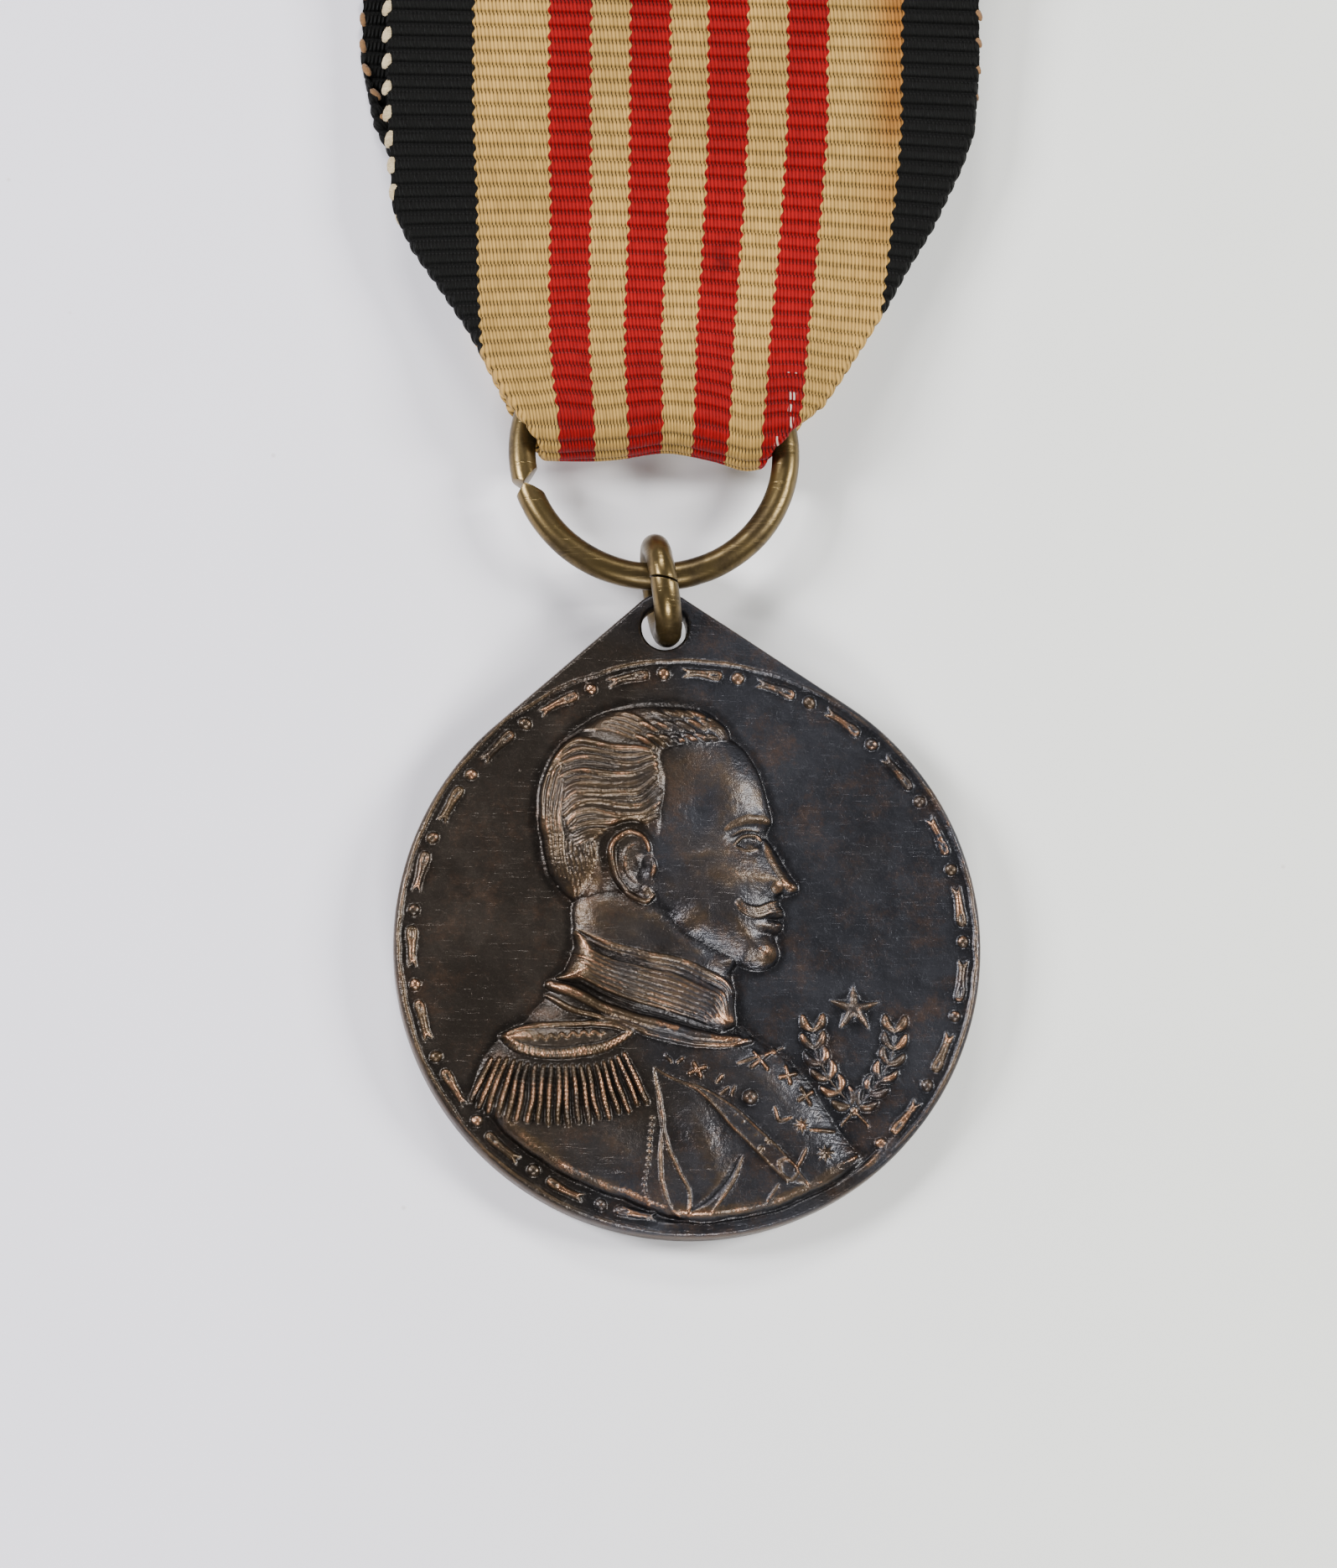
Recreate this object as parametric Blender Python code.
"""Struck bronze medal on a folded ribbon with a pin brooch, lying face up.

Metres, +Z up. The origin is on the table under the middle of the object, and +Y runs
from the medal towards the brooch. Every piece is one object, and every moving piece
hangs from an empty that stands on its joint's axis. The pin and the ring turn about the
empty's Z, the ribbon's bend, the link and the medal about its X.
"""

import math

import bmesh
import bpy
from mathutils import Matrix, Vector

# ---- Medal ------------------------------------------------------------------------
DISC_CENTRE = (0.0003, -0.0278)     # of the round field, on the table's plan
DISC_RADIUS = 0.0165
DISC_THICKNESS = 0.0022
DISC_BEVEL = 0.0003
DISC_TURN = math.radians(4.4)       # of the eye about the field's centre, in plan
DISC_TILT = math.radians(3.15)      # the eye end lies on the link, the far rim on the table
FIELD_RADIUS = 0.0160
FIELD_DEPTH = 0.00015
EYE_DISTANCE = 0.0182               # from the field's centre to the eye's centre
EYE_RADIUS = 0.0013
APEX_RADIUS = 0.0020                # of the rounded tip about the eye
APEX_SIDES = 16
DISC_SIDES = 96

# ---- Link between the eye and the ribbon ring -------------------------------------
LINK_OUTER_RADIUS = 0.00325
LINK_WIRE_RADIUS = 0.000775
LINK_TURN = math.radians(9.0)       # of the link's plane in plan
LINK_FROM_EYE = 0.00218             # link's centre past the eye's centre
LINK_SPLIT = 0.00015                # gap between the wire's two ends
LINK_SPLIT_SLANT = math.radians(20.0)

# ---- Ribbon ring ------------------------------------------------------------------
RING_OUTER_RADIUS = 0.0083
RING_WIRE_RADIUS = 0.00078
RING_TURN = math.radians(1.7)       # of the ring's slope in plan
RING_TILT = math.radians(5.7)       # down from the link to the ribbon
RING_WIRE_FROM_LINK = 0.00082       # ring's wire past the link's centre
CUT_ANGLE = math.radians(194.5)     # where the ring is cut open
CUT_NECK_GAP = 0.00012              # between the two ridges left by the cutters
CUT_NECK_OUT = 0.0002               # the ridges' place outside the wire's middle
CUT_SLOPE = math.tan(math.radians(27.0))

# ---- Ribbon -----------------------------------------------------------------------
CLOTH = 0.0005                      # thickness of one layer
BEND_Y = 0.0182                     # where the free end of the ribbon folds upward
BEND_Z = 0.0019
BEND_GAP = 0.0024
NOSE_CENTRE = (0.0025, 0.00225)     # Y and Z of the fold that holds the ring
NOSE_RADIUS = 0.0019
NOSE_STEPS = 12
NOSE_EDGES = (-0.00805, 0.00485)
LAY_Z = 0.00035                     # middle of the layer that lies on the table

# ---- Brooch -----------------------------------------------------------------------
PLATE_X = -0.0001
PLATE_Y = 0.0387
PLATE_SIZE = (0.0364, 0.0090, 0.0007)
PLATE_CORNER = 0.0010
PLATE_BOTTOM = 0.00295
FELT_SIZE = (0.0236, 0.0078, 0.0004)
FELT_BOTTOM = 0.0024
BASE_SIZE = (0.0056, 0.0032, 0.0004)
BASE_BOTTOM = 0.00245
HINGE_X = -0.0150
CATCH_X = 0.0146
BOSS_RADIUS = 0.0013
BOSS_BOTTOM = 0.00155
PIVOT_HOLE_RADIUS = 0.00075
RIVET_HOLE_RADIUS = 0.0005
RIVET_OFFSET = 0.0020               # of a fixing rivet from its base's middle, along X
RIVET_TOP = 0.00384
NEEDLE_Z = 0.00095
NEEDLE_RADIUS = 0.00045
NEEDLE_LENGTH = 0.0322
NEEDLE_POINT = 0.0060
NEEDLE_EYE_RADIUS = 0.0017
HOOK_WIDTH = 0.0026
HOOK_SHEET = 0.0004
HOOK_REACH = 0.0028
HOOK_FOOT = 0.00035
STITCH_LENGTH = 0.0018
STITCH_RADIUS = 0.00010
STITCH_PITCH = 0.0040
STITCH_COUNT = 6
STITCH_Z = 0.0016
STITCH_ROWS = (0.0361, 0.0411)      # Y of the back layer's tacks and of the top fold's


# ---- Materials --------------------------------------------------------------------
def material(name, colour, roughness, metallic):
    """A Principled material with one colour."""
    made = bpy.data.materials.new(name)
    made.use_nodes = True
    shader = made.node_tree.nodes["Principled BSDF"]
    shader.inputs["Base Color"].default_value = (*colour, 1.0)
    shader.inputs["Roughness"].default_value = roughness
    shader.inputs["Metallic"].default_value = metallic
    return made


# ---- Shapes -----------------------------------------------------------------------
def place(name, bm, finish, parent=None, matrix=None):
    """Turn a bmesh into a named object, at a world matrix, under its parent."""
    bmesh.ops.recalc_face_normals(bm, faces=bm.faces)
    mesh = bpy.data.meshes.new(name)
    bm.to_mesh(mesh)
    bm.free()
    mesh.materials.append(finish)
    mesh.shade_smooth()
    mesh.set_sharp_from_angle(angle=math.radians(35.0))
    piece = bpy.data.objects.new(name, mesh)
    bpy.context.collection.objects.link(piece)
    hang(piece, parent, matrix or Matrix.Identity(4))
    return piece


def hang(piece, parent, matrix):
    """Parent a piece and keep it at a world matrix."""
    if parent is not None:
        bpy.context.view_layer.update()
        piece.parent = parent
        piece.matrix_parent_inverse = parent.matrix_world.inverted()
    piece.matrix_basis = matrix


def axis_empty(name, parent, matrix):
    """An empty on a joint's axis, which carries what moves about it."""
    empty = bpy.data.objects.new(name, None)
    empty.empty_display_size = 0.003
    bpy.context.collection.objects.link(empty)
    hang(empty, parent, matrix)
    bpy.context.view_layer.update()
    return empty


def moved(x, y, z):
    """A matrix that only moves."""
    return Matrix.Translation((x, y, z))


def prism(outline, bottom, top):
    """A closed solid between two heights over an outline of (x, y) points."""
    bm = bmesh.new()
    base = bm.faces.new([bm.verts.new((x, y, bottom)) for x, y in outline])
    grown = bmesh.ops.extrude_face_region(bm, geom=[base])
    lifted = [item for item in grown["geom"] if isinstance(item, bmesh.types.BMVert)]
    bmesh.ops.translate(bm, verts=lifted, vec=(0.0, 0.0, top - bottom))
    return bm


def turned(profile, steps):
    """A closed solid turned about Z from (radius, z) points that start and end on it."""
    bm = bmesh.new()
    points = [bm.verts.new((radius, 0.0, z)) for radius, z in profile]
    edges = [bm.edges.new(pair) for pair in zip(points, points[1:])]
    bmesh.ops.spin(bm, geom=points + edges, cent=(0, 0, 0), axis=(0, 0, 1),
                   angle=math.tau, steps=steps, use_merge=True)
    bmesh.ops.remove_doubles(bm, verts=bm.verts, dist=1e-7)
    return bm


def torus(major, minor, major_steps, minor_steps):
    """A round ring of round wire about Z."""
    bm = bmesh.new()
    section = bmesh.ops.create_circle(bm, segments=minor_steps, radius=minor)["verts"]
    bmesh.ops.rotate(bm, verts=section, matrix=Matrix.Rotation(math.pi / 2, 3, "X"))
    bmesh.ops.translate(bm, verts=section, vec=(major, 0.0, 0.0))
    bmesh.ops.spin(bm, geom=bm.verts[:] + bm.edges[:], cent=(0, 0, 0), axis=(0, 0, 1),
                   angle=math.tau, steps=major_steps, use_merge=True)
    bmesh.ops.remove_doubles(bm, verts=bm.verts, dist=1e-7)
    return bm


def arc(centre, radius, start, end, steps):
    """Points along an arc, both ends included."""
    turn = (end - start) / steps
    return [(centre[0] + radius * math.cos(start + turn * i),
             centre[1] + radius * math.sin(start + turn * i)) for i in range(steps + 1)]


def rounded_rectangle(size_x, size_y, corner, steps=6):
    """The outline of a rectangle with round corners, about its middle."""
    half_x, half_y = size_x / 2 - corner, size_y / 2 - corner
    middles = ((half_x, half_y), (-half_x, half_y), (-half_x, -half_y), (half_x, -half_y))
    outline = []
    for quarter, middle in enumerate(middles):
        start = quarter * math.pi / 2
        outline += arc(middle, corner, start, start + math.pi / 2, steps)
    return outline


def cutter(name, bm, matrix):
    """A solid that is only there to be cut away from others."""
    bmesh.ops.recalc_face_normals(bm, faces=bm.faces)
    mesh = bpy.data.meshes.new(name)
    bm.to_mesh(mesh)
    bm.free()
    tool = bpy.data.objects.new(name, mesh)
    bpy.context.collection.objects.link(tool)
    tool.matrix_basis = matrix
    tool.display_type = "WIRE"
    tool.hide_render = True
    return tool


def combine(piece, tool, operation="DIFFERENCE"):
    """Cut a tool away from a piece, or unite the two."""
    modifier = piece.modifiers.new(tool.name, "BOOLEAN")
    modifier.operation = operation
    modifier.object = tool


def drill(name, pieces, x, y, radius, steps=20):
    """One round hole straight through each of the pieces."""
    rod = bmesh.new()
    bmesh.ops.create_cone(rod, cap_ends=True, segments=steps, radius1=radius,
                          radius2=radius, depth=0.02)
    tool = cutter(name, rod, moved(x, y, 0.0))
    for piece in pieces:
        combine(piece, tool)


# ---- Medal ------------------------------------------------------------------------
def disc_outline(shrink=0.0):
    """The round medal drawn out to a rounded tip around its eye."""
    spread = math.acos((DISC_RADIUS - APEX_RADIUS) / EYE_DISTANCE)
    up = math.pi / 2
    tip = arc((0.0, EYE_DISTANCE), APEX_RADIUS - shrink, up - spread, up + spread, APEX_SIDES)
    body = arc((0.0, 0.0), DISC_RADIUS - shrink, up + spread, up + math.tau - spread, DISC_SIDES)
    return tip + body


def bevelled_blank():
    """The blank between its two faces, with both edges bevelled."""
    bm = bmesh.new()
    half = DISC_THICKNESS / 2
    levels = ((DISC_BEVEL, -half), (0.0, DISC_BEVEL - half),
              (0.0, half - DISC_BEVEL), (DISC_BEVEL, half))
    loops = [[bm.verts.new((x, y, z)) for x, y in disc_outline(shrink)] for shrink, z in levels]
    bm.faces.new(loops[0])
    bm.faces.new(loops[-1])
    for low, high in zip(loops, loops[1:]):
        for i in range(len(low)):
            j = (i + 1) % len(low)
            bm.faces.new((low[i], low[j], high[j], high[i]))
    return bm


def disc_matrix():
    """Where the medal lies: its far rim touches the table, its eye end is raised."""
    half = DISC_THICKNESS / 2
    drop = ((DISC_RADIUS - DISC_BEVEL) * math.sin(DISC_TILT) + half * math.cos(DISC_TILT))
    turn = Matrix.Rotation(DISC_TURN, 4, "Z") @ Matrix.Rotation(DISC_TILT, 4, "X")
    return moved(*DISC_CENTRE, drop) @ turn


def make_disc(parent, finish):
    """The struck medal with its eye, a recessed field on each face."""
    where = disc_matrix()
    disc = place("medal_disc", bevelled_blank(), finish, parent, where)
    eye = bmesh.new()
    bmesh.ops.create_cone(eye, cap_ends=True, segments=32, radius1=EYE_RADIUS,
                          radius2=EYE_RADIUS, depth=0.01)
    combine(disc, cutter("eye_cutter", eye, where @ moved(0.0, EYE_DISTANCE, 0.0)))
    floor = DISC_THICKNESS / 2 - FIELD_DEPTH
    circle = arc((0.0, 0.0), FIELD_RADIUS, 0.0, math.tau * (1 - 1 / DISC_SIDES), DISC_SIDES - 1)
    for name, low, high in (("obverse_cutter", floor, 0.003), ("reverse_cutter", -0.003, -floor)):
        combine(disc, cutter(name, prism(circle, low, high), where))
    return disc


# ---- Rings ------------------------------------------------------------------------
def link_centre():
    """The link stands on the table, and its wire goes through the medal's eye."""
    reach = EYE_DISTANCE + LINK_FROM_EYE
    return Vector((DISC_CENTRE[0] - reach * math.sin(DISC_TURN),
                   DISC_CENTRE[1] + reach * math.cos(DISC_TURN), LINK_OUTER_RADIUS))


def ring_wire_point():
    """The middle of the ring's wire where the link hangs on it."""
    along = Vector((-math.sin(LINK_TURN), math.cos(LINK_TURN), 0.0))
    return link_centre() + along * RING_WIRE_FROM_LINK


def ring_matrix():
    """The ring's frame: it slopes down from the link to the ribbon's two layers."""
    turn = Matrix.Rotation(RING_TURN, 4, "Z") @ Matrix.Rotation(-RING_TILT, 4, "X")
    out = turn @ Vector((0.0, RING_OUTER_RADIUS - RING_WIRE_RADIUS, 0.0))
    return Matrix.Translation(ring_wire_point() + out) @ turn


def make_link(parent, finish):
    """The small round link, its wire's two ends butted at the top."""
    major = LINK_OUTER_RADIUS - LINK_WIRE_RADIUS
    stand = Matrix.Rotation(LINK_TURN, 4, "Z") @ Matrix.Rotation(math.pi / 2, 4, "Y")
    where = Matrix.Translation(link_centre()) @ stand
    link = place("link", torus(major, LINK_WIRE_RADIUS, 40, 14), finish, parent, where)
    slit = bmesh.new()
    bmesh.ops.create_cube(slit, size=1.0)
    bmesh.ops.scale(slit, verts=slit.verts, vec=(0.0030, LINK_SPLIT, 0.0030))
    slant = Matrix.Rotation(LINK_SPLIT_SLANT, 4, "X")
    combine(link, cutter("link_split_cutter", slit, where @ moved(-major, 0.0, 0.0) @ slant))
    return link


def make_ring(parent, finish):
    """The ribbon ring, nipped through: a notch from each side leaves two facing ridges."""
    where = ring_matrix()
    major = RING_OUTER_RADIUS - RING_WIRE_RADIUS
    ring = place("ribbon_ring", torus(major, RING_WIRE_RADIUS, 72, 14), finish, parent, where)
    neck = major + CUT_NECK_OUT
    half = CUT_NECK_GAP / 2
    side = []
    for radius in (major - 1.3 * RING_WIRE_RADIUS, neck, major + 1.3 * RING_WIRE_RADIUS):
        side.append((radius, half + abs(radius - neck) * CUT_SLOPE))
    outline = side + [(radius, -spread) for radius, spread in reversed(side)]
    wedge = prism(outline, -0.002, 0.002)
    combine(ring, cutter("ring_cutter", wedge, where @ Matrix.Rotation(CUT_ANGLE, 4, "Z")))
    return ring


# ---- Ribbon -----------------------------------------------------------------------
def between(points, y):
    """The value at y on a line through (y, value) points."""
    for (y0, v0), (y1, v1) in zip(points, points[1:]):
        if y <= y1:
            return v0 + (v1 - v0) * max(0.0, (y - y0) / (y1 - y0))
    return points[-1][1]


def strip(name, path, edges, finish, parent):
    """One layer of ribbon along a (y, z) path; edges gives its left and right x."""
    bm = bmesh.new()
    rows = []
    for i, (y, z) in enumerate(path):
        before, after = path[max(i - 1, 0)], path[min(i + 1, len(path) - 1)]
        run = Vector((after[0] - before[0], after[1] - before[1])).normalized()
        lift = Vector((-run.y, run.x)) * CLOTH / 2
        left, right = edges[i]
        rows.append([bm.verts.new(corner) for corner in (
            (left, y + lift.x, z + lift.y), (right, y + lift.x, z + lift.y),
            (right, y - lift.x, z - lift.y), (left, y - lift.x, z - lift.y))])
    bm.faces.new(rows[0])
    bm.faces.new(rows[-1])
    for one, other in zip(rows, rows[1:]):
        for i in range(4):
            j = (i + 1) % 4
            bm.faces.new((one[i], one[j], other[j], other[i]))
    return place(name, bm, finish, parent)


def make_ribbon_loop(parent, finish):
    """The free end: the back layer, the fold inside the ring, and the front layer."""
    y0, z0 = NOSE_CENTRE
    nose = arc((y0, z0), NOSE_RADIUS, -math.pi / 2, -3 * math.pi / 2, NOSE_STEPS)
    end = BEND_Y - BEND_GAP / 2
    rise = ((0.0050, 0.00375), (0.0084, 0.0032), (0.0130, 0.00275), (end, 0.00258))
    back = [(end, LAY_Z), (0.0130, LAY_Z), (0.0080, LAY_Z), (0.0050, LAY_Z)]
    path = back + nose + list(rise)
    left = ((0.0013, NOSE_EDGES[0]), (0.0026, -0.0094), (0.0058, -0.0112), (0.0102, -0.0136),
            (0.0126, -0.0151), (0.0151, -0.0162), (0.0186, -0.0166))
    right = ((0.0013, NOSE_EDGES[1]), (0.0022, 0.0062), (0.0067, 0.0098), (0.0102, 0.0117),
             (0.0127, 0.0130), (0.0158, 0.0147), (0.0186, 0.0162))
    edges = [(between(left, y), between(right, y)) for y, _ in path]
    return strip("ribbon_loop", path, edges, finish, parent)


def make_ribbon_front(finish):
    """The front layer: over the plate's face, and folded down behind its top edge."""
    start = BEND_Y + BEND_GAP / 2
    front = PLATE_BOTTOM + PLATE_SIZE[2] + CLOTH
    behind = FELT_BOTTOM - 0.8 * CLOTH
    middle, radius = (front + behind) / 2, (front - behind) / 2
    turn_y = PLATE_Y + PLATE_SIZE[1] / 2 - 0.0002
    fold = arc((turn_y, middle), radius, math.pi / 2, -math.pi / 2, 10)
    climb = [(start, 0.00255), (0.0250, 0.0026), (0.0300, 0.0031), (0.0326, 0.0038),
             (0.0340, front)]
    path = climb + fold + [(turn_y - 0.0026, behind)]
    edges = [(between(((start, -0.0167), (0.0260, -0.0171)), y),
              between(((start, 0.0165), (0.0240, 0.0171)), y)) for y, _ in path]
    return strip("ribbon_front", path, edges, finish, None)


def make_ribbon_back(finish):
    """The back layer: along the table, then up to its tacks behind the plate."""
    start = BEND_Y + BEND_GAP / 2
    behind = FELT_BOTTOM - 0.8 * CLOTH
    path = [(start, LAY_Z), (0.0235, LAY_Z), (0.0280, 0.0005), (0.0320, 0.0012),
            (0.0345, behind - 0.0001), (0.0368, behind)]
    left = ((start, -0.0166), (0.0235, -0.0180), (0.0280, -0.0185), (0.0368, -0.0183))
    right = ((start, 0.0166), (0.0240, 0.0171), (0.0368, 0.0171))
    edges = [(between(left, y), between(right, y)) for y, _ in path]
    return strip("ribbon_back", path, edges, finish, None)


# ---- Brooch -----------------------------------------------------------------------
def slab(name, size, corner, bottom, x, y, finish):
    """A flat plate with round corners."""
    outline = rounded_rectangle(size[0], size[1], corner)
    return place(name, prism(outline, bottom, bottom + size[2]), finish, None,
                 moved(x, y, 0.0))


def make_hinge_bracket(finish):
    """The base with the boss that spaces the needle's eye off it."""
    bracket = slab("hinge_bracket", BASE_SIZE, 0.0005, BASE_BOTTOM, HINGE_X, PLATE_Y, finish)
    boss = bmesh.new()
    height = BASE_BOTTOM + BASE_SIZE[2] / 2 - BOSS_BOTTOM
    bmesh.ops.create_cone(boss, cap_ends=True, segments=28, radius1=BOSS_RADIUS,
                          radius2=BOSS_RADIUS, depth=height)
    middle = moved(HINGE_X, PLATE_Y, BOSS_BOTTOM + height / 2)
    combine(bracket, cutter("boss_form", boss, middle), "UNION")
    return bracket


def make_catch(finish):
    """The base with the hook that the needle's point lies in, open towards +Y."""
    catch = slab("catch_hook", BASE_SIZE, 0.0005, BASE_BOTTOM, CATCH_X, PLATE_Y, finish)
    back = PLATE_Y - BASE_SIZE[1] / 2
    top = BASE_BOTTOM + BASE_SIZE[2] / 2
    bend = 0.0004
    outer = arc((back + bend, bend), bend, math.pi, 3 * math.pi / 2, 5)
    inner = arc((back + HOOK_SHEET + bend, HOOK_FOOT + bend), bend, 3 * math.pi / 2, math.pi, 5)
    lip = [(back + HOOK_REACH, 0.0), (back + HOOK_REACH, 0.00043),
           (back + HOOK_REACH - 0.0003, HOOK_FOOT)]
    outline = [(back, top)] + outer + lip + inner + [(back + HOOK_SHEET, top)]
    hook = prism(outline, -HOOK_WIDTH / 2, HOOK_WIDTH / 2)
    upright = Matrix(((0, 0, 1, CATCH_X), (1, 0, 0, 0), (0, 1, 0, 0), (0, 0, 0, 1)))
    combine(catch, cutter("hook_form", hook, upright), "UNION")
    return catch


def make_needle(parent, finish):
    """The pin: a round eye on the pivot, and a wire that tapers to its point."""
    ring = ((0.0, -NEEDLE_RADIUS), (NEEDLE_EYE_RADIUS - 0.0002, -NEEDLE_RADIUS),
            (NEEDLE_EYE_RADIUS, 0.0002 - NEEDLE_RADIUS), (NEEDLE_EYE_RADIUS, NEEDLE_RADIUS - 0.0002),
            (NEEDLE_EYE_RADIUS - 0.0002, NEEDLE_RADIUS), (0.0, NEEDLE_RADIUS))
    where = moved(HINGE_X, PLATE_Y, NEEDLE_Z)
    needle = place("pin_needle", turned(ring, 28), finish, parent, where)
    start = NEEDLE_EYE_RADIUS - 0.0005
    wire_radius = NEEDLE_RADIUS * 0.97
    profile = ((0.0, start), (wire_radius, start), (wire_radius, NEEDLE_LENGTH - NEEDLE_POINT),
               (wire_radius * 0.8, NEEDLE_LENGTH - NEEDLE_POINT / 2),
               (0.00008, NEEDLE_LENGTH - 0.0001), (0.0, NEEDLE_LENGTH))
    along = where @ Matrix.Rotation(math.pi / 2, 4, "Y")
    combine(needle, cutter("wire_form", turned(profile, 14), along), "UNION")
    return needle


def rivet_profile(bottom, top, shank, head, thickness):
    """Two domed heads on a shank, as (radius, z) points."""
    edge = 0.6 * thickness
    low = [(0.0, bottom), (head * 0.7, bottom), (head, bottom + edge), (head, bottom + thickness)]
    high = [(head, top - thickness), (head, top - edge), (head * 0.7, top), (0.0, top)]
    return low + [(shank, bottom + thickness), (shank, top - thickness)] + high


def make_hinge_rivet(finish):
    """The pivot: its lower head carries the needle's eye, its upper end is peened over."""
    plate_top = PLATE_BOTTOM + PLATE_SIZE[2]
    profile = ((0.0, 0.0), (0.0012, 0.0), (0.0014, 0.0001), (0.0014, 0.0004), (0.0006, 0.0004),
               (0.0006, plate_top + 0.00005), (0.0010, plate_top + 0.00005),
               (0.0009, RIVET_TOP), (0.0, RIVET_TOP))
    return place("hinge_rivet", turned(profile, 24), finish, None, moved(HINGE_X, PLATE_Y, 0.0))


def make_fixing_rivets(finish, plate, bases):
    """Two rivets through the plate and each base."""
    number = 0
    for base, x in bases:
        for side in (-1, 1):
            number += 1
            at_x = x + side * RIVET_OFFSET
            drill(f"rivet_hole_cutter_{number}", (plate, base), at_x, PLATE_Y, RIVET_HOLE_RADIUS)
            profile = rivet_profile(0.0022, RIVET_TOP, 0.0004, 0.00068, 0.00017)
            place(f"fixing_rivet_{number}", turned(profile, 16), finish, None,
                  moved(at_x, PLATE_Y, 0.0))


def make_stitches(finish):
    """Two rows of tacks that hold the ribbon's ends behind the plate."""
    half, radius = STITCH_LENGTH / 2, STITCH_RADIUS
    profile = ((0.0, -half), (radius * 0.7, radius * 0.4 - half), (radius, radius - half),
               (radius, half - radius), (radius * 0.7, half - radius * 0.4), (0.0, half))
    first = PLATE_X - STITCH_PITCH * (STITCH_COUNT - 1) / 2
    for row, y in enumerate(STITCH_ROWS):
        for i in range(STITCH_COUNT):
            where = moved(first + i * STITCH_PITCH, y, STITCH_Z) @ Matrix.Rotation(math.pi / 2, 4, "Y")
            number = row * STITCH_COUNT + i + 1
            place(f"stitch_{number:02d}", turned(profile, 8), finish, None, where)


def make_brooch(brass, steel, felt, thread):
    """The plate, its felt, the pin's pivot, the catch and their rivets and tacks."""
    plate = slab("backing_plate", PLATE_SIZE, PLATE_CORNER, PLATE_BOTTOM, PLATE_X, PLATE_Y, brass)
    slab("backing_felt", FELT_SIZE, 0.0005, FELT_BOTTOM, PLATE_X, PLATE_Y, felt)
    bracket = make_hinge_bracket(brass)
    catch = make_catch(brass)
    make_fixing_rivets(brass, plate, ((bracket, HINGE_X), (catch, CATCH_X)))
    pin_axis = axis_empty("pin_axis", None, moved(HINGE_X, PLATE_Y, NEEDLE_Z))
    needle = make_needle(pin_axis, steel)
    drill("pivot_hole_cutter", (plate, bracket, needle), HINGE_X, PLATE_Y, PIVOT_HOLE_RADIUS, 24)
    make_hinge_rivet(brass)
    make_stitches(thread)


# ---- Assembly ---------------------------------------------------------------------
def main():
    """Clear the scene and build the medal from its brooch down to its disc."""
    for old in list(bpy.data.objects):
        bpy.data.objects.remove(old)
    bronze = material("patinated_bronze", (0.10, 0.07, 0.055), 0.38, 1.0)
    old_brass = material("aged_brass", (0.34, 0.27, 0.13), 0.35, 1.0)
    brass = material("plate_brass", (0.55, 0.44, 0.22), 0.40, 1.0)
    steel = material("needle_steel", (0.55, 0.55, 0.55), 0.30, 1.0)
    cloth = material("ribbon_cloth", (0.62, 0.52, 0.36), 0.85, 0.0)
    felt = material("grey_felt", (0.20, 0.20, 0.19), 0.95, 0.0)
    thread = material("black_thread", (0.03, 0.03, 0.03), 0.80, 0.0)

    make_brooch(brass, steel, felt, thread)
    make_ribbon_front(cloth)
    make_ribbon_back(cloth)
    bend_axis = axis_empty("ribbon_bend_axis", None, moved(0.0, BEND_Y, BEND_Z))
    make_ribbon_loop(bend_axis, cloth)
    ring_axis = axis_empty("ring_axis", bend_axis, Matrix.Translation(ring_matrix().translation))
    make_ring(ring_axis, old_brass)
    along_ring = Matrix.Rotation(RING_TURN, 4, "Z")
    link_axis = axis_empty("link_axis", ring_axis, Matrix.Translation(ring_wire_point()) @ along_ring)
    make_link(link_axis, old_brass)
    along_link = Matrix.Rotation(LINK_TURN, 4, "Z")
    disc_axis = axis_empty("disc_axis", link_axis, Matrix.Translation(link_centre()) @ along_link)
    make_disc(disc_axis, bronze)


main()
